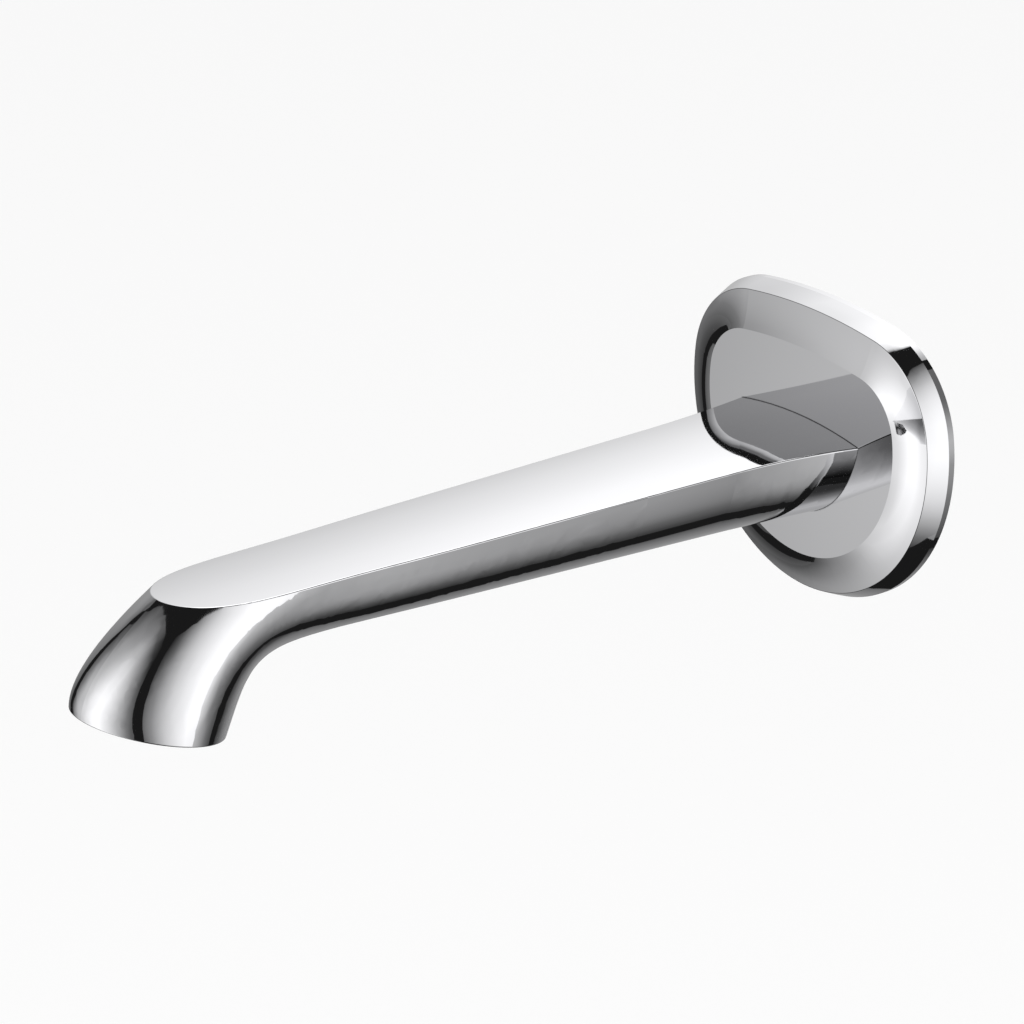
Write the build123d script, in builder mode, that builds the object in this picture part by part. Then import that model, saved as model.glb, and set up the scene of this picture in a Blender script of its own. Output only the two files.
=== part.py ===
"""Bath spout on a wall flange, with its inlet nipple and a flush aerator in the outlet.

Millimetres. The wall is the plane y = 0, the spout reaches out along -Y and +Z is up.
The origin is on the inlet axis at the wall.
"""
import os
from math import cos, radians, sin, sqrt

from build123d import *

os.makedirs("parts", exist_ok=True)

cut_clear = 5.0             # cuts start this far outside the solids

# Spout body: straight part, measured from the wall
face_depth = 9.7            # flat face of the flange, where the spout starts
top_half_width = 19.76      # half the width between the top edges, taken back to the wall
width_taper = 0.0288        # half-width lost per mm of reach
crown_height = 12.58        # middle of the top, above the inlet axis at the wall
crown_drop = 0.0112         # fall of the top per mm of reach
crown_radius = 125.0        # the top is rounded across
under_depth = 13.0          # underside below the inlet axis at the wall
under_rise = 0.0303         # rise of the underside per mm of reach
side_share = 0.23           # share of the oval that lies between its middle and the top edge
flare = 3.56                # extra half-width where the spout meets the flange
flare_length = 35.0
edge_round = 0.35           # top edges and outlet rim

# Spout body: nose, from the end of the straight part to the outlet
spout_reach = 223.66        # front of the outlet, from the wall
nose_length = 103.66
nose_lead = 12.0            # spacing of the straight ovals that lead into the nose
outlet_drop = 14.72         # front of the outlet below the inlet axis
outlet_tilt = 15.03         # degrees; the back of the outlet lies lower
outlet_radius = 18.57
top_handle = 37.5           # lengths and leans of the lines that draw the nose
front_handle = 19.6
front_lean = 93.0
under_handle = 64.6
heel_handle = 22.0
heel_lean = 61.1
waist_handle = 38.3
waist_narrow = 10.46        # half-widths that draw the sides in, then out to the outlet
waist_wide = 18.03

# Waterway
socket_radius = 8.55
socket_end = 36.0
water_wall = 3.6
water_share = 0.6           # half-width of the waterway as a share of the top half-width
inlet_radius = 7.6
water_start = 60.0
throat_radius = 10.0
throat_depth = 12.5
elbow_end_radius = 16.0

# Nipple and its seals
thread_radius = 10.4775     # G 1/2
thread_length = 16.0
thread_relief = 9.1
thread_lead = 1.4
spigot_lead = 0.6
nipple_bore = 5.25
hex_flats = 21.0
hex_start = 0.5
hex_end = 5.5
spigot_slack = 0.05
nipple_end = 35.0
ring_groove = 7.0
ring_groove_width = 2.2
ring_rear = 25.5
ring_front = 31.0
screw_groove = 6.9
screw_groove_width = 5.6

# Grub screw, M5
screw_reach = 18.0
screw_radius = 2.5
screw_slack = 0.05
screw_length = 4.6
screw_key = 2.5
screw_key_depth = 2.2
screw_lead = 0.4

# Wall flange
flange_radius = 45.7        # sides and bottom, at the crease
flange_middle = 11.1
flange_top = 40.3
flange_top_radius = 173.0
flange_corner = 24.8
crease_depth = 7.0
rim_out = 2.2
rim_band = 1.8
strip_bulge = 0.05          # of the side strip, over its straight line
ring_width = 9.8            # from the crease to the flat face
ring_hollow = 0.4           # of the sloping ring, under its straight line
crease_round = 0.3
plate = 2.4
skin = 1.8
hub_radius = 11.0
hub_length = 2.2
hub_slack = 0.15
foot_width = 3.4
plate_lap = 2.0
cord_width = 1.6
cord_depth = 1.2

# Aerator, M28 size
aerator_radius = 14.0
aerator_slack = 0.1
aerator_recess = 0.8
housing_bore = 12.2
housing_lip = 10.6
housing_lip_height = 1.2
notch_count = 4
notch_width = 3.0
notch_depth = 1.0
notch_height = 0.9
insert_slack = 0.1
insert_height = 4.0
insert_cell = 2.2
insert_pitch = 2.8
insert_rows = 7
disc_height = 1.6
jet_radius = 0.6
jet_circle = 7.5
jet_count = 10
screen_height = 0.5
screen_hole = 0.55
screen_pitch = 1.6
screen_rows = 11
washer_height = 1.5
washer_bore = 10.4


def curve(points, t):
    """Point of the smooth curve that starts and ends with the points and leans to those between."""
    while len(points) > 1:
        points = [a * (1 - t) + b * t for a, b in zip(points, points[1:])]
    return points[0]


def edge_half_width(reach):
    """Half-width of the straight part between the top edges."""
    near = max(0.0, 1 - (reach - face_depth) / flare_length)
    return top_half_width - width_taper * reach + flare * near**2


def crown_at(reach):
    return crown_height - crown_drop * reach


def under_at(reach):
    return under_rise * reach - under_depth


def straight_oval(reach):
    """Half-width, top and bottom of the oval that the straight part is cut from."""
    half = edge_half_width(reach)
    plain = top_half_width - width_taper * reach
    edge = crown_at(reach) - plain**2 / (2 * crown_radius)
    half_height = (edge - under_at(reach)) / (1 - side_share)
    top = under_at(reach) + 2 * half_height
    return half / sqrt(1 - side_share**2), Vector(0, -reach, top), Vector(0, -reach, under_at(reach))


def oval(half_width, top, bottom):
    """Oval face across the spout, between a top and a bottom point of the middle plane."""
    up = top - bottom
    across = Vector(1, 0, 0)
    with BuildSketch(Plane((top + bottom) * 0.5, x_dir=across, z_dir=across.cross(up))) as section:
        with BuildLine():
            EllipticalCenterArc((0, 0), half_width, up.length / 2, -90, arc_size=180)
            EllipticalCenterArc((0, 0), half_width, up.length / 2, 90, arc_size=180)
        make_face()
    return section.sketch.faces()[0]


# Skin of the spout: ovals along the straight part, then between the two lines of the nose
nose_start = spout_reach - nose_length
outlet_up = Vector(0, -cos(radians(outlet_tilt)), sin(radians(outlet_tilt)))
outlet_front = Vector(0, -spout_reach, -outlet_drop)
outlet_middle = outlet_front - outlet_up * outlet_radius
outlet_back = outlet_middle - outlet_up * outlet_radius
waist, nose_top, nose_under = straight_oval(nose_start)
next_waist, next_top, next_under = straight_oval(nose_start + 1)
waist_start = waist + (next_waist - waist) * waist_handle
top_start = nose_top + (next_top - nose_top) * top_handle
under_start = nose_under + (next_under - nose_under) * under_handle
front_end = outlet_front + Vector(0, cos(radians(front_lean)), sin(radians(front_lean))) * front_handle
heel_end = outlet_back + Vector(0, cos(radians(heel_lean)), sin(radians(heel_lean))) * heel_handle
flare_end = face_depth + flare_length
flare_ovals = [oval(*straight_oval(face_depth + flare_length * step / 3)) for step in range(4)]
nose_leads = [nose_start - nose_lead * count for count in (4, 3, 2, 1)]
straight_ovals = [oval(*straight_oval(flare_end)), oval(*straight_oval(nose_leads[0]))]
nose_ovals = [oval(*straight_oval(reach)) for reach in nose_leads]
for count in range(7):
    step = count / 6
    half_width = curve([waist, waist_start, waist_narrow, waist_wide, outlet_radius], step)
    top_point = curve([nose_top, top_start, front_end, outlet_front], step)
    under_point = curve([nose_under, under_start, heel_end, outlet_back], step)
    nose_ovals.append(oval(half_width, top_point, under_point))

# Waterway: ovals along the body, then an elbow into the outlet
outlet_in = Vector(0, outlet_up.Z, -outlet_up.Y)
outlet_turn = outlet_in.get_angle(Vector(0, 1, 0))
outlet_plane = Plane(outlet_middle, x_dir=(1, 0, 0), z_dir=outlet_in)
elbow_end = outlet_middle + outlet_in * throat_depth
elbow_pivot = elbow_end - outlet_up * elbow_end_radius
elbow_reach = -elbow_pivot.Y


def water_high(reach):
    return crown_at(reach) - water_wall


def water_low(reach):
    return under_at(reach) + water_wall


def water_half_width(reach):
    return water_share * (top_half_width - width_taper * reach)


inlet_top = Vector(0, -socket_end, inlet_radius)
inlet_bottom = Vector(0, -socket_end, -inlet_radius)
water_ovals = [oval(inlet_radius, inlet_top, inlet_bottom)]
for reach in [water_start, elbow_reach]:
    high_point = Vector(0, -reach, water_high(reach))
    low_point = Vector(0, -reach, water_low(reach))
    water_ovals.append(oval(water_half_width(reach), high_point, low_point))
elbow_radius = (water_high(elbow_reach) + water_low(elbow_reach)) / 2 - elbow_pivot.Z
elbow_rise = (water_high(elbow_reach) - water_low(elbow_reach)) / 2
elbow_ovals = []
for done in [0.0, 0.33, 0.67, 1.0]:
    turn = radians(outlet_turn * done)
    aim = Vector(0, -sin(turn), cos(turn))
    middle = elbow_pivot + aim * (elbow_radius + (elbow_end_radius - elbow_radius) * done)
    rise = elbow_rise + (throat_radius - elbow_rise) * done
    share = water_half_width(elbow_reach) * (1 - done) + throat_radius * done
    elbow_ovals.append(oval(share, middle + aim * rise, middle - aim * rise))

# Aerator stack, depths from the outlet inwards
lip_end = aerator_recess + housing_lip_height
insert_end = lip_end + insert_height
disc_end = insert_end + disc_height
screen_end = disc_end + screen_height
washer_end = screen_end + washer_height
spigot_radius = socket_radius - spigot_slack

# Spout body
with BuildPart() as spout_body:
    loft(flare_ovals)
    loft(straight_ovals, ruled=True)
    loft(nose_ovals)
    crown_axis = Vector(0, -1, -crown_drop).normalized()
    with Locations(Plane((0, 0, crown_height - crown_radius), x_dir=(1, 0, 0), z_dir=crown_axis)):
        from_wall = (Align.CENTER, Align.CENTER, Align.MIN)
        Cylinder(crown_radius, spout_reach + outlet_radius, align=from_wall, mode=Mode.INTERSECT)
    top_face = spout_body.faces().filter_by(GeomType.CYLINDER)[0]
    outlet_face = spout_body.faces().filter_by(GeomType.PLANE).sort_by(Axis.Z)[0]
    side_edges = top_face.edges().filter_by(lambda edge: edge.center().Y < -face_depth - 1)
    fillet(side_edges + outlet_face.edges(), edge_round)
    with BuildSketch(Plane((0, -face_depth, 0), x_dir=(1, 0, 0), z_dir=(0, 1, 0))):
        Circle(hub_radius)
    extrude(amount=hub_length)
    with BuildSketch(Plane((0, -face_depth + hub_length, 0), x_dir=(1, 0, 0), z_dir=(0, -1, 0))):
        Circle(socket_radius)
    extrude(amount=socket_end - face_depth + hub_length, mode=Mode.SUBTRACT)
    with BuildSketch(outlet_plane.offset(-cut_clear)):
        Circle(aerator_radius + aerator_slack)
    extrude(amount=washer_end + cut_clear, mode=Mode.SUBTRACT)
    with BuildSketch(outlet_plane.offset(-cut_clear)):
        Circle(throat_radius)
    extrude(amount=throat_depth + cut_clear, mode=Mode.SUBTRACT)
    loft(elbow_ovals, mode=Mode.SUBTRACT)
    loft(water_ovals, ruled=True, mode=Mode.SUBTRACT)
    screw_cut = under_at(screw_reach) - cut_clear
    with BuildSketch(Plane((0, -screw_reach, screw_cut), x_dir=(1, 0, 0), z_dir=(0, 0, 1))):
        Circle(screw_radius + screw_slack)
    extrude(amount=-screw_cut, mode=Mode.SUBTRACT)
spout_body.part.label = "spout_body"
export_step(spout_body.part, "parts/spout_body.step")

# Wall flange: section carried round the outline, and the flat plate inside it
with BuildSketch(Plane((0, -crease_depth, 0), x_dir=(1, 0, 0), z_dir=(0, -1, 0))) as outline:
    with Locations((0, flange_middle)):
        Circle(flange_radius)
    with Locations((0, flange_top - flange_top_radius)):
        Circle(flange_top_radius, mode=Mode.INTERSECT)
    fillet(outline.vertices(), flange_corner)
rim_wire = outline.sketch.faces()[0].outer_wire()
rim_outward = (rim_wire % 0).cross(Vector(0, -1, 0))
rim_plane = Plane(rim_wire @ 0, x_dir=rim_outward, z_dir=rim_wire % 0)
flat = crease_depth - face_depth
dip = flat / 2 + ring_hollow
foot_in = rim_out - foot_width
cord_out = rim_out - (foot_width - cord_width) / 2
with BuildPart() as wall_flange:
    with BuildSketch(rim_plane) as rim_section:
        with BuildLine():
            Line((rim_out, crease_depth), (rim_out, crease_depth - rim_band))
            ThreePointArc(
                (rim_out, crease_depth - rim_band),
                (rim_out / 2 + strip_bulge, (crease_depth - rim_band) / 2),
                (0, 0),
            )
            ThreePointArc((0, 0), (-ring_width / 2, dip), (-ring_width, flat))
            Polyline(
                (-ring_width, flat),
                (-ring_width - plate_lap, flat),
                (-ring_width - plate_lap, flat + plate),
                (-ring_width, flat + plate),
            )
            ThreePointArc((-ring_width, flat + plate), (-ring_width / 2, dip + skin), (-skin, skin))
            Polyline(
                (-skin, skin),
                (foot_in, crease_depth),
                (cord_out - cord_width, crease_depth),
                (cord_out - cord_width, crease_depth - cord_depth),
                (cord_out, crease_depth - cord_depth),
                (cord_out, crease_depth),
                (rim_out, crease_depth),
            )
        make_face()
        fillet(rim_section.vertices().sort_by_distance((0, 0))[0], crease_round)
    sweep(path=rim_wire)
    with BuildSketch(Plane((0, -face_depth, 0), x_dir=(1, 0, 0), z_dir=(0, -1, 0))):
        add(outline.sketch_local)
        offset(amount=-ring_width - plate_lap / 2, mode=Mode.REPLACE)
    extrude(amount=-plate)
    with BuildSketch(Plane((0, 0, 0), x_dir=(1, 0, 0), z_dir=(0, -1, 0))):
        Circle(hub_radius + hub_slack)
    extrude(amount=face_depth + cut_clear, mode=Mode.SUBTRACT)
wall_flange.part.label = "wall_flange"
export_step(wall_flange.part, "parts/wall_flange.step")

# Sealing cord in the back of the rim
with BuildPart() as flange_gasket:
    with BuildSketch(rim_plane):
        with Locations((cord_out - cord_width / 2, crease_depth - cord_depth / 2)):
            Rectangle(cord_width, cord_depth)
    sweep(path=rim_wire)
flange_gasket.part.label = "flange_gasket"
export_step(flange_gasket.part, "parts/flange_gasket.step")

# Inlet nipple
with BuildPart() as inlet_nipple:
    with BuildSketch(Plane.XY):
        with BuildLine():
            Polyline(
                (nipple_bore, thread_length),
                (thread_relief, thread_length),
                (thread_radius, thread_length - thread_lead),
                (thread_radius, 0),
                (thread_relief, 0),
                (thread_relief, -hex_end),
                (spigot_radius, -hex_end),
                (spigot_radius, -nipple_end + spigot_lead),
                (spigot_radius - spigot_lead, -nipple_end),
                (nipple_bore, -nipple_end),
                close=True,
            )
        make_face()
    revolve(axis=Axis.Y)
    with BuildSketch(Plane((0, -hex_start, 0), x_dir=(1, 0, 0), z_dir=(0, -1, 0))):
        RegularPolygon(hex_flats / 2, 6, major_radius=False)
        Circle(nipple_bore, mode=Mode.SUBTRACT)
    extrude(amount=hex_end - hex_start)
    for reach, width, depth in [
        (screw_reach, screw_groove_width, screw_groove),
        (ring_rear, ring_groove_width, ring_groove),
        (ring_front, ring_groove_width, ring_groove),
    ]:
        with BuildSketch(Plane((0, -reach + width / 2, 0), x_dir=(1, 0, 0), z_dir=(0, -1, 0))):
            Circle(spigot_radius + cut_clear)
            Circle(depth, mode=Mode.SUBTRACT)
        extrude(amount=width, mode=Mode.SUBTRACT)
inlet_nipple.part.label = "inlet_nipple"
export_step(inlet_nipple.part, "parts/inlet_nipple.step")

# Rubber rings on the spigot, squeezed to the depth of their grooves
ring_section = (socket_radius - ring_groove) / 2
with BuildPart() as nipple_ring_rear:
    with Locations(Plane((0, -ring_rear, 0), x_dir=(1, 0, 0), z_dir=(0, -1, 0))):
        Torus(ring_groove + ring_section, ring_section)
nipple_ring_rear.part.label = "nipple_ring_rear"
export_step(nipple_ring_rear.part, "parts/nipple_ring_rear.step")

with BuildPart() as nipple_ring_front:
    with Locations(Plane((0, -ring_front, 0), x_dir=(1, 0, 0), z_dir=(0, -1, 0))):
        Torus(ring_groove + ring_section, ring_section)
nipple_ring_front.part.label = "nipple_ring_front"
export_step(nipple_ring_front.part, "parts/nipple_ring_front.step")

# Grub screw from below, its flat point in the nipple's groove
with BuildPart() as grub_screw:
    with BuildSketch(Plane((0, -screw_reach, -screw_groove), x_dir=(1, 0, 0), z_dir=(0, 0, -1))):
        Circle(screw_radius)
    extrude(amount=screw_length)
    chamfer(grub_screw.edges().filter_by(GeomType.CIRCLE), screw_lead)
    screw_end = -screw_groove - screw_length
    with BuildSketch(Plane((0, -screw_reach, screw_end), x_dir=(1, 0, 0), z_dir=(0, 0, 1))):
        RegularPolygon(screw_key / 2, 6, major_radius=False)
    extrude(amount=screw_key_depth, mode=Mode.SUBTRACT)
grub_screw.part.label = "grub_screw"
export_step(grub_screw.part, "parts/grub_screw.step")

# Aerator housing, with notches for its key
with BuildPart() as aerator_housing:
    with BuildSketch(outlet_plane.offset(aerator_recess)):
        Circle(aerator_radius)
        Circle(housing_lip, mode=Mode.SUBTRACT)
    extrude(amount=screen_end - aerator_recess)
    with BuildSketch(outlet_plane.offset(lip_end)):
        Circle(housing_bore)
    extrude(amount=screen_end - lip_end, mode=Mode.SUBTRACT)
    with BuildSketch(outlet_plane.offset(aerator_recess)):
        with PolarLocations(housing_lip, notch_count):
            Rectangle(notch_depth * 2, notch_width)
    extrude(amount=notch_height, mode=Mode.SUBTRACT)
aerator_housing.part.label = "aerator_housing"
export_step(aerator_housing.part, "parts/aerator_housing.step")

# Aerator insert, a disc of straight cells
insert_radius = housing_bore - insert_slack
with BuildPart() as aerator_insert:
    with BuildSketch(outlet_plane.offset(lip_end)):
        Circle(insert_radius)
        with BuildSketch(Plane.XY, mode=Mode.PRIVATE) as cells:
            with HexLocations(insert_pitch / 2, insert_rows, insert_rows):
                RegularPolygon(insert_cell / 2, 6, major_radius=False)
            Circle(housing_lip - insert_cell / 4, mode=Mode.INTERSECT)
        add(cells.sketch, mode=Mode.SUBTRACT)
    extrude(amount=insert_height)
aerator_insert.part.label = "aerator_insert"
export_step(aerator_insert.part, "parts/aerator_insert.step")

# Jet disc
with BuildPart() as aerator_disc:
    with BuildSketch(outlet_plane.offset(insert_end)):
        Circle(insert_radius)
        with PolarLocations(jet_circle, jet_count):
            Circle(jet_radius, mode=Mode.SUBTRACT)
    extrude(amount=disc_height)
aerator_disc.part.label = "aerator_disc"
export_step(aerator_disc.part, "parts/aerator_disc.step")

# Filter screen
with BuildPart() as aerator_screen:
    with BuildSketch(outlet_plane.offset(disc_end)):
        Circle(insert_radius)
        with BuildSketch(Plane.XY, mode=Mode.PRIVATE) as meshes:
            with HexLocations(screen_pitch / 2, screen_rows, screen_rows):
                Circle(screen_hole)
        add(meshes.sketch, mode=Mode.SUBTRACT)
    extrude(amount=screen_height)
aerator_screen.part.label = "aerator_screen"
export_step(aerator_screen.part, "parts/aerator_screen.step")

# Rubber washer between the aerator and the shoulder in the outlet
with BuildPart() as aerator_washer:
    with BuildSketch(outlet_plane.offset(screen_end)):
        Circle(aerator_radius)
        Circle(washer_bore, mode=Mode.SUBTRACT)
    extrude(amount=washer_height)
aerator_washer.part.label = "aerator_washer"
export_step(aerator_washer.part, "parts/aerator_washer.step")
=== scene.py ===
"""Looks of the bath spout: chromed body and flange, brass nipple, rubber seals and the aerator."""
from math import cos, pi, radians, sin

import bmesh
import bpy
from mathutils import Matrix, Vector


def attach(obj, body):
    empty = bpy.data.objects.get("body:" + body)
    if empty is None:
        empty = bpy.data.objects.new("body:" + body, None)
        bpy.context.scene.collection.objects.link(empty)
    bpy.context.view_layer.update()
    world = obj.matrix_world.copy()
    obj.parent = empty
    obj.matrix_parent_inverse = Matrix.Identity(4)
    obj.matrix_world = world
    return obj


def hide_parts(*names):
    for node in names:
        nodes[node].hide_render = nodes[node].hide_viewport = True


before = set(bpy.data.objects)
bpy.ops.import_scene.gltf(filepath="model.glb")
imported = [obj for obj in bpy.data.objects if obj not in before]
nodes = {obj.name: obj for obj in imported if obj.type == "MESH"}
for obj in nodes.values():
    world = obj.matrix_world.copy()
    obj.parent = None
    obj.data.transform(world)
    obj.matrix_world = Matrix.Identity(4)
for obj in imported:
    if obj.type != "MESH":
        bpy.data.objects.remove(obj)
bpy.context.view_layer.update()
MM = 0.001

# Camera: long lens, from the right of the nose and above
camera_azimuth = radians(53.25)
camera_elevation = radians(21.79)
camera_distance = 1.2
camera_target = Vector((0, -100, 7.6)) * MM

camera_data = bpy.data.cameras.new("camera")
camera_data.sensor_width = 36
camera_data.lens = 174.23
camera_data.clip_end = 100
camera = bpy.data.objects.new("camera", camera_data)
bpy.context.scene.collection.objects.link(camera)
camera_back = Vector((
    sin(camera_azimuth) * cos(camera_elevation),
    -cos(camera_azimuth) * cos(camera_elevation),
    sin(camera_elevation),
))
camera.location = camera_target + camera_back * camera_distance
camera.rotation_euler = camera_back.to_track_quat("Z", "Y").to_euler()
bpy.context.scene.camera = camera
bpy.context.scene.view_settings.view_transform = "Standard"


def linear(code):
    """sRGB hex colour as linear red, green, blue and alpha."""
    parts = [int(code[i:i + 2], 16) / 255 for i in (1, 3, 5)]
    return [p / 12.92 if p <= 0.04045 else ((p + 0.055) / 1.055) ** 2.4 for p in parts] + [1.0]


def spacing(size):
    """Scale of a noise pattern whose marks are this many millimetres apart."""
    return 1 / (size * MM)


def add(tree, kind, settings=None, links=None):
    """One node: settings are its own properties or input values, links feed its inputs."""
    node = tree.nodes.new(kind)
    for name, value in (settings or {}).items():
        if isinstance(name, str) and hasattr(node, name):
            setattr(node, name, value)
        else:
            node.inputs[name].default_value = value
    for name, socket in (links or {}).items():
        tree.links.new(socket, node.inputs[name])
    return node


def new_surface(name):
    """Empty material with its shader, ready for detail."""
    material = bpy.data.materials.new(name)
    material.use_nodes = True
    tree = material.node_tree
    return material, tree, tree.nodes["Principled BSDF"]


def dress(material, *names):
    """Puts a finish on CAD nodes."""
    for name in names:
        slots = nodes[name].data.materials
        slots.clear()
        slots.append(material)


# Chromium plate on polished brass: a clean mirror with a faint polishing haze, dull where nobody polishes
def chrome_plate():
    material, tree, shader = new_surface("chrome_plate")
    shader.inputs["Metallic"].default_value = 1.0
    place = add(tree, "ShaderNodeTexCoord")
    haze = add(
        tree,
        "ShaderNodeTexNoise",
        {"Scale": spacing(11.1), "Detail": 4.0},
        {"Vector": place.outputs["Object"]},
    )
    polish = add(
        tree, "ShaderNodeMapRange", {"To Min": 0.02, "To Max": 0.05}, {"Value": haze.outputs["Fac"]}
    )
    facing = add(tree, "ShaderNodeSeparateXYZ", links={0: place.outputs["Normal"]})
    unpolished = add(
        tree,
        "ShaderNodeMapRange",
        {"From Min": 0.3, "From Max": 0.7, "To Min": 0.0, "To Max": 0.3},
        {"Value": facing.outputs["Y"]},
    )
    rough = add(
        tree,
        "ShaderNodeMath",
        {"operation": "ADD"},
        {0: polish.outputs["Result"], 1: unpolished.outputs["Result"]},
    )
    tree.links.new(rough.outputs["Value"], shader.inputs["Roughness"])
    # Painted shade: ambient occlusion within 0.5 mm darkens the base colour to near black in inner corners, a
    # line about 0.3 mm wide where the spout sits on the flange
    corner = add(tree, "ShaderNodeAmbientOcclusion", {"samples": 6, "Distance": 0.5 * MM})
    painted_crease_shade = add(
        tree, "ShaderNodeMapRange", {"From Min": 0.55, "From Max": 0.8}, {"Value": corner.outputs["AO"]}
    )
    # Plate colour, turned near black where the painted shade of the inner corners lies
    tone = add(
        tree,
        "ShaderNodeMix",
        {"data_type": "RGBA", 6: linear("#2A2A2C"), 7: linear("#E6E6E8")},
        {"Factor": painted_crease_shade.outputs["Result"]},
    )
    tree.links.new(tone.outputs[2], shader.inputs["Base Color"])
    return material


# Brass, turned on a lathe and left bare: warm, lightly tarnished, with fine rings round the axis
def turned_brass():
    material, tree, shader = new_surface("turned_brass")
    shader.inputs["Metallic"].default_value = 1.0
    place = add(tree, "ShaderNodeTexCoord")
    stain = add(
        tree,
        "ShaderNodeTexNoise",
        {"Scale": spacing(6.25), "Detail": 5.0},
        {"Vector": place.outputs["Object"]},
    )
    tone = add(
        tree,
        "ShaderNodeMix",
        {"data_type": "RGBA", 6: linear("#D9B567"), 7: linear("#C39A4C")},
        {"Factor": stain.outputs["Fac"]},
    )
    tree.links.new(tone.outputs[2], shader.inputs["Base Color"])
    rough = add(tree, "ShaderNodeMapRange", {"To Min": 0.18, "To Max": 0.34}, {"Value": stain.outputs["Fac"]})
    tree.links.new(rough.outputs["Result"], shader.inputs["Roughness"])
    # Feed marks of the lathe are about 0.1 mm apart; these are drawn at about 0.4 mm so that they show
    round_axis = add(
        tree, "ShaderNodeMapping", {"Scale": (0.02, 1.0, 0.02)}, {"Vector": place.outputs["Object"]}
    )
    rings = add(
        tree,
        "ShaderNodeTexNoise",
        {"Scale": spacing(0.4), "Detail": 2.0},
        {"Vector": round_axis.outputs["Vector"]},
    )
    marks = add(
        tree, "ShaderNodeBump", {"Strength": 0.4, "Distance": 0.02 * MM}, {"Height": rings.outputs["Fac"]}
    )
    tree.links.new(marks.outputs["Normal"], shader.inputs["Normal"])
    return material


# Nitrile rubber, moulded: near black, with a soft sheen and a fine matt grain
def nitrile_rubber():
    material, tree, shader = new_surface("nitrile_rubber")
    place = add(tree, "ShaderNodeTexCoord")
    # The grain of a rubber mould is about 0.05 mm; it is drawn at about 1 mm so that it shows
    grain = add(
        tree,
        "ShaderNodeTexNoise",
        {"Scale": spacing(1.1), "Detail": 3.0},
        {"Vector": place.outputs["Object"]},
    )
    tone = add(
        tree,
        "ShaderNodeMix",
        {"data_type": "RGBA", 6: linear("#161617"), 7: linear("#242425")},
        {"Factor": grain.outputs["Fac"]},
    )
    tree.links.new(tone.outputs[2], shader.inputs["Base Color"])
    shader.inputs["IOR"].default_value = 1.52
    rough = add(tree, "ShaderNodeMapRange", {"To Min": 0.5, "To Max": 0.7}, {"Value": grain.outputs["Fac"]})
    tree.links.new(rough.outputs["Result"], shader.inputs["Roughness"])
    return material


# Acetal, moulded in its natural white: slightly waxy, with a faint flow mottle
def acetal():
    material, tree, shader = new_surface("acetal")
    place = add(tree, "ShaderNodeTexCoord")
    flow = add(
        tree,
        "ShaderNodeTexNoise",
        {"Scale": spacing(4.0), "Detail": 3.0},
        {"Vector": place.outputs["Object"]},
    )
    tone = add(
        tree,
        "ShaderNodeMix",
        {"data_type": "RGBA", 6: linear("#E4E3DC"), 7: linear("#EFEEE9")},
        {"Factor": flow.outputs["Fac"]},
    )
    tree.links.new(tone.outputs[2], shader.inputs["Base Color"])
    shader.inputs["IOR"].default_value = 1.48
    rough = add(tree, "ShaderNodeMapRange", {"To Min": 0.35, "To Max": 0.5}, {"Value": flow.outputs["Fac"]})
    tree.links.new(rough.outputs["Result"], shader.inputs["Roughness"])
    return material


# Stainless steel, machined: grey, with short drawn marks
def stainless_steel():
    material, tree, shader = new_surface("stainless_steel")
    shader.inputs["Metallic"].default_value = 1.0
    place = add(tree, "ShaderNodeTexCoord")
    # Drawn marks are about 0.05 mm apart; these are drawn at about 0.4 mm so that they show
    stretch = add(tree, "ShaderNodeMapping", {"Scale": (1.0, 1.0, 0.08)}, {"Vector": place.outputs["Object"]})
    marks = add(
        tree,
        "ShaderNodeTexNoise",
        {"Scale": spacing(0.4), "Detail": 4.0},
        {"Vector": stretch.outputs["Vector"]},
    )
    tone = add(
        tree,
        "ShaderNodeMix",
        {"data_type": "RGBA", 6: linear("#B4B4B2"), 7: linear("#CFCFCD")},
        {"Factor": marks.outputs["Fac"]},
    )
    tree.links.new(tone.outputs[2], shader.inputs["Base Color"])
    rough = add(tree, "ShaderNodeMapRange", {"To Min": 0.22, "To Max": 0.38}, {"Value": marks.outputs["Fac"]})
    tree.links.new(rough.outputs["Result"], shader.inputs["Roughness"])
    return material


chrome = chrome_plate()
brass = turned_brass()
rubber = nitrile_rubber()
plastic = acetal()
steel = stainless_steel()
dress(chrome, "spout_body", "wall_flange", "aerator_housing")
dress(brass, "inlet_nipple")
dress(rubber, "flange_gasket", "nipple_ring_rear", "nipple_ring_front", "aerator_washer")
dress(plastic, "aerator_insert", "aerator_disc")
dress(steel, "grub_screw", "aerator_screen")


# Nipple as it is turned: the plain cylinder of the solid carries its G 1/2 thread here, right-handed
thread_pitch = 1.814
thread_crest = 10.4775
thread_root = 9.3155
thread_length = 16.0
lead_start = 9.1            # radius at the front of the thread's lead
lead_length = 1.4
neck_radius = 9.1
hexagon_near = -0.5
hexagon_far = -5.5
hexagon_flat = 10.5         # half the width across the flats
spigot_radius = 8.5
spigot_end = -35.0
spigot_chamfer = 0.6
spigot_grooves = ((18.0, 5.6, 6.9), (25.5, 2.2, 7.0), (31.0, 2.2, 7.0))     # middle, width, radius
bore_radius = 5.25
segments = 144
rows_a_turn = 12


def thread_radius(y, turn):
    """Radius of the thread at a place along it and a share of a turn, cut down at its lead."""
    wave = 0.5 - 0.5 * cos(2 * pi * (y / thread_pitch - turn))
    lead = lead_start + (thread_length - y) * (thread_crest - lead_start) / lead_length
    return min(thread_root + (thread_crest - thread_root) * wave, lead)


def hexagon_radius(turn):
    """Radius of the hexagon at a share of a turn."""
    return hexagon_flat / cos(radians((turn * 360 + 30) % 60 - 30))


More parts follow.
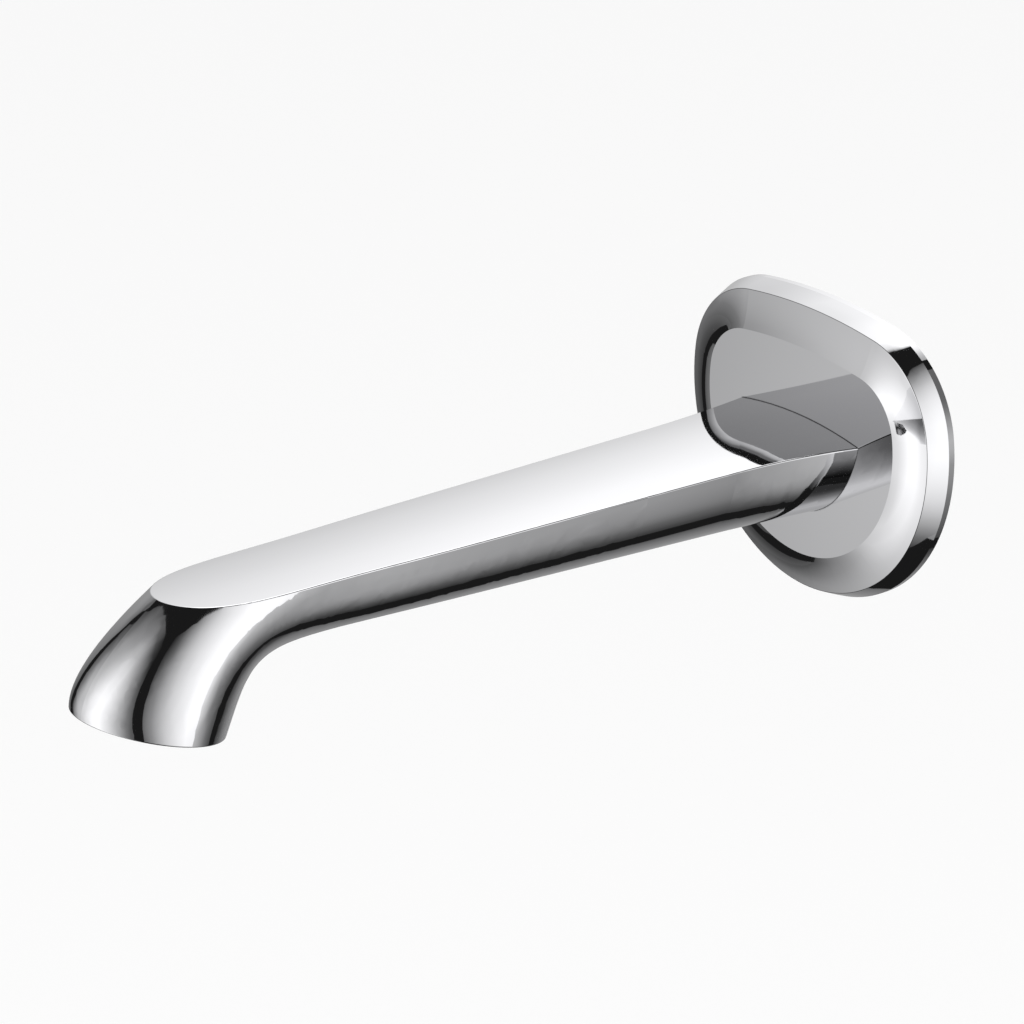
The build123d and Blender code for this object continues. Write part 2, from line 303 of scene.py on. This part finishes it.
def threaded_nipple():
    """Rings of points along the nipple, from the thread's end to the spigot and back through the bore."""
    rows = []
    for count in range(int(thread_length / thread_pitch * rows_a_turn) + 1):
        y = thread_length - count * thread_pitch / rows_a_turn
        rows.append((y, [thread_radius(y, k / segments) for k in range(segments)]))
    rows.append((0, [thread_radius(0, k / segments) for k in range(segments)]))
    hexagon = [hexagon_radius(k / segments) for k in range(segments)]
    neck = [neck_radius] * segments
    rows += [(0, neck), (hexagon_near, neck), (hexagon_near, hexagon), (hexagon_far, hexagon)]
    turned = [(hexagon_far, spigot_radius)]
    for middle, width, depth in spigot_grooves:
        near, far = -middle + width / 2, -middle - width / 2
        turned += [(near, spigot_radius), (near, depth), (far, depth), (far, spigot_radius)]
    turned += [
        (spigot_end + spigot_chamfer, spigot_radius),
        (spigot_end, spigot_radius - spigot_chamfer),
        (spigot_end, bore_radius),
        (thread_length, bore_radius),
    ]
    rows += [(y, [radius] * segments) for y, radius in turned]
    points = []
    for y, radii in rows:
        for k, radius in enumerate(radii):
            turn = 2 * pi * k / segments
            points.append(Vector((radius * sin(turn), y, radius * cos(turn))) * MM)
    faces = []
    for i in range(len(rows)):
        here, there = i * segments, (i + 1) % len(rows) * segments
        for k in range(segments):
            side = (k + 1) % segments
            faces.append((here + k, there + k, there + side, here + side))
    mesh = bpy.data.meshes.new("threaded_nipple")
    mesh.from_pydata(points, [], faces)
    form = bmesh.new()
    form.from_mesh(mesh)
    bmesh.ops.recalc_face_normals(form, faces=form.faces)
    form.to_mesh(mesh)
    form.free()
    mesh.shade_smooth()
    mesh.set_sharp_from_angle(angle=radians(50))
    mesh.materials.append(brass)
    piece = bpy.data.objects.new("threaded_nipple", mesh)
    bpy.context.scene.collection.objects.link(piece)
    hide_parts("inlet_nipple")
    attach(piece, "root")


threaded_nipple()

# Light boards round the spout, inside a dark cloth, which only the shine of the metal sees:
# each is lit from its middle, and the gaps between them give the dark bands in the chrome
studio_middle = Vector((0, -0.11, 0))
board_strength = 1.27       # a level of a board then shows as that level in the chrome
cloth_glow = 0.012
cloth_radius = 30.0


def grey(level):
    """Linear brightness of an sRGB grey level."""
    return linear("#" + 3 * format(level, "02X"))[0]


def only_shine(thing):
    """Keeps a board out of sight of the camera and of the plain light."""
    bpy.context.scene.collection.objects.link(thing)
    thing.visible_camera = False
    thing.visible_diffuse = False
    thing.visible_transmission = False
    thing.visible_shadow = False


def ramp(tree, value, stops):
    """Brightness of a value in metres, from stops of (metres, brightness)."""
    low, high = stops[0][0], stops[-1][0]
    share = add(tree, "ShaderNodeMapRange", {"From Min": low, "From Max": high}, {"Value": value})
    blend = add(tree, "ShaderNodeValToRGB", links={"Fac": share.outputs["Result"]})
    marks = blend.color_ramp.elements
    marks.remove(marks[1])
    for count, (metres, bright) in enumerate(stops):
        place = (metres - low) / (high - low)
        mark = marks[0] if count == 0 else marks.new(place)
        mark.position = place
        mark.color = (bright, bright, bright, 1.0)
    return blend.outputs["Color"]


def glowing(name, strength, build=None):
    """Material that gives white light; build shades it by the place on the board."""
    material = bpy.data.materials.new(name)
    material.use_nodes = True
    material.cycles.emission_sampling = "NONE"
    tree = material.node_tree
    tree.nodes.clear()
    glow = add(tree, "ShaderNodeEmission", {"Color": (1, 1, 1, 1), "Strength": strength})
    if build:
        tree.links.new(build(tree), glow.inputs["Color"])
    out = add(tree, "ShaderNodeOutputMaterial")
    tree.links.new(glow.outputs["Emission"], out.inputs["Surface"])
    return material


def light_board(name, azimuth, distance, corners, slant, across, upright):
    """Board that faces the spout, with its corners in metres.

    across gives grey levels from left to right, leaning by the slant; upright gives shares from low to high.
    """

    def paint(tree):
        place = add(tree, "ShaderNodeTexCoord")
        axes = add(tree, "ShaderNodeSeparateXYZ", links={0: place.outputs["Object"]})
        shift = add(tree, "ShaderNodeMath", {"operation": "MULTIPLY", 1: slant}, {0: axes.outputs["Z"]})
        along = add(
            tree,
            "ShaderNodeMath",
            {"operation": "SUBTRACT"},
            {0: axes.outputs["X"], 1: shift.outputs["Value"]},
        )
        spread = ramp(tree, along.outputs["Value"], [(metres, grey(level)) for metres, level in across])
        height = ramp(tree, axes.outputs["Z"], upright)
        lit = add(
            tree,
            "ShaderNodeMix",
            {"data_type": "RGBA", "blend_type": "MULTIPLY", 0: 1.0},
            {6: spread, 7: height},
        )
        return lit.outputs[2]

    mesh = bpy.data.meshes.new(name)
    mesh.from_pydata([(x, 0, z) for x, z in corners], [], [range(len(corners))])
    mesh.materials.append(glowing(name, board_strength, paint))
    board = bpy.data.objects.new(name, mesh)
    turn = radians(azimuth)
    board.location = studio_middle + Vector((sin(turn), -cos(turn), 0)) * distance
    board.rotation_euler = (0, 0, turn)
    only_shine(board)


cloth_mesh = bpy.data.meshes.new("dark_cloth")
cloth_form = bmesh.new()
bmesh.ops.create_icosphere(cloth_form, subdivisions=3, radius=cloth_radius)
cloth_form.to_mesh(cloth_mesh)
cloth_form.free()
cloth_mesh.materials.append(glowing("dark_cloth", cloth_glow))
only_shine(bpy.data.objects.new("dark_cloth", cloth_mesh))

light_board(
    "board_ahead", -16.5, 0.5,
    [
        (-0.755, -2.0), (0.607, -2.0), (0.607, 1.1), (0.42, 1.06), (0.13, 0.95), (-0.17, 0.81), (-0.45, 0.7),
        (-0.7, 0.47), (-0.755, 0.42),
    ],
    0.15,
    [
        (-0.755, 90), (-0.6, 115), (-0.5, 145), (-0.44, 162), (-0.36, 180), (-0.28, 192), (-0.22, 205),
        (-0.16, 221), (-0.10, 240), (-0.04, 255), (0.06, 255), (0.10, 242), (0.16, 222), (0.22, 200),
        (0.28, 175), (0.36, 149), (0.44, 117), (0.55, 90), (0.607, 82),
    ],
    [
        (-2.0, 0.3), (-1.3, 0.38), (-0.9, 0.44), (-0.69, 0.52), (-0.55, 0.64), (-0.45, 0.74), (-0.36, 0.86),
        (-0.27, 1.0), (0.16, 1.0), (0.22, 0.95), (0.29, 0.87), (0.36, 0.78), (0.45, 0.66), (0.55, 0.48),
        (0.69, 0.31), (0.87, 0.11), (1.1, 0.07),
    ],
)
light_board(
    "board_far_left", -60.0, 2.684,
    [
        (-0.3, -4.0), (0.5, -4.0), (0.5, 0.1), (-0.5, 0.1), (-0.62, -0.12), (-0.9, -0.45), (-1.066, -0.8),
        (-1.0, -1.6), (-0.9, -2.1), (-0.72, -2.5), (-0.5, -2.76), (-0.3, -2.9),
    ],
    0.0,
    [(-1.066, 56), (-0.7, 76), (-0.35, 100), (-0.1, 122), (0.5, 140)],
    [(-4.0, 0.75), (-2.1, 0.75), (-1.2, 1.0), (0.1, 1.0)],
)
light_board(
    "board_right", 105.0, 0.45,
    [
        (-0.70, -1.35), (0.103, -1.35), (0.033, 1.36), (-0.15, 1.36), (-0.2, 0.37), (-0.44, 0.8),
        (-0.70, 1.12),
    ],
    0.0,
    [
        (-0.70, 95), (-0.62, 114), (-0.50, 136), (-0.405, 165), (-0.327, 187), (-0.26, 207), (-0.20, 221),
        (-0.146, 233), (-0.096, 244), (-0.05, 255), (0.063, 255),
    ],
    [
        (-1.35, 0.02), (-1.01, 0.07), (-0.78, 0.15), (-0.62, 0.28), (-0.5, 0.42), (-0.327, 0.7), (-0.2, 0.88),
        (-0.1, 1.0), (0.1, 1.0), (0.2, 0.95), (0.327, 0.85), (0.5, 0.65), (0.62, 0.5), (0.78, 0.35),
        (1.0, 0.2), (1.36, 0.06),
    ],
)
light_board(
    "board_far_right", 140.0, 1.5,
    [(-1.3, -3.4), (1.199, -3.4), (0.104, 0.0), (0.45, 1.6), (-1.3, 1.6)],
    -0.322,
    [(-1.3, 195), (-0.95, 178), (-0.7, 158), (-0.55, 150), (-0.35, 125), (-0.2, 100), (0.0, 77), (0.104, 68)],
    [
        (-3.4, 0.4), (-2.6, 0.65), (-1.7, 1.0), (-1.0, 1.0), (-0.5, 1.4), (-0.2, 2.6), (0.2, 2.6), (0.5, 2.2),
        (1.6, 2.0),
    ],
)
light_board(
    "board_behind", -144.0, 1.0,
    [
        (-1.07, -1.54), (1.3, -1.54), (1.35, -0.6), (1.64, 0.1), (2.3, 1.4), (3.2, 3.3), (5.0, 14.0),
        (-1.07, 14.0),
    ],
    0.0,
    [
        (-1.07, 130), (-0.9, 148), (-0.727, 173), (-0.577, 204), (-0.445, 220), (-0.325, 234), (-0.21, 245),
        (0.0, 255), (0.105, 255), (0.21, 250), (0.325, 237), (0.445, 223), (0.577, 210), (0.727, 199),
        (0.9, 184), (1.11, 166), (1.376, 146), (1.643, 128), (2.2, 75), (5.0, 60),
    ],
    [
        (-1.54, 0.12), (-1.38, 0.16), (-1.11, 0.2), (-0.9, 0.23), (-0.727, 0.26), (-0.577, 0.29),
        (-0.445, 0.32), (-0.2, 0.45), (0.0, 0.58), (0.21, 0.75), (0.325, 0.85), (0.445, 0.92),
        (0.577, 1.0), (0.8, 1.05),
        (1.0, 1.25), (1.13, 1.4), (1.48, 1.5), (1.88, 1.85), (3.09, 2.2), (6.5, 2.1), (9.0, 1.7), (14.0, 0.3),
    ],
)

# Plain white studio: an even white surround, one large soft lamp overhead and a pale floor well below
world = bpy.data.worlds.new("studio")
world.use_nodes = True
bpy.context.scene.world = world
world.node_tree.nodes["Background"].inputs["Color"].default_value = (1, 1, 1, 1)
world.node_tree.nodes["Background"].inputs["Strength"].default_value = 1.0

lamp_data = bpy.data.lights.new("soft_lamp", "AREA")
lamp_data.energy = 12
lamp_data.size = 1.5
lamp = bpy.data.objects.new("soft_lamp", lamp_data)
lamp.location = (0.4, -0.6, 1.6)
lamp.rotation_euler = (Vector(lamp.location) - studio_middle).to_track_quat("Z", "Y").to_euler()
lamp.visible_glossy = False
bpy.context.scene.collection.objects.link(lamp)

floor_drop = 2.1
floor_radius = 40.0
floor_mesh = bpy.data.meshes.new("floor")
floor_form = bmesh.new()
bmesh.ops.create_circle(floor_form, cap_ends=True, segments=96, radius=floor_radius)
floor_form.to_mesh(floor_mesh)
floor_form.free()
floor = bpy.data.objects.new("floor", floor_mesh)
floor.location = (0, 0, -floor_drop)
floor.visible_glossy = False
bpy.context.scene.collection.objects.link(floor)
floor_paint, floor_tree, floor_shader = new_surface("white_floor")
floor_shader.inputs["Base Color"].default_value = linear("#FCFCFC")
floor_shader.inputs["Roughness"].default_value = 0.9
floor_mesh.materials.append(floor_paint)
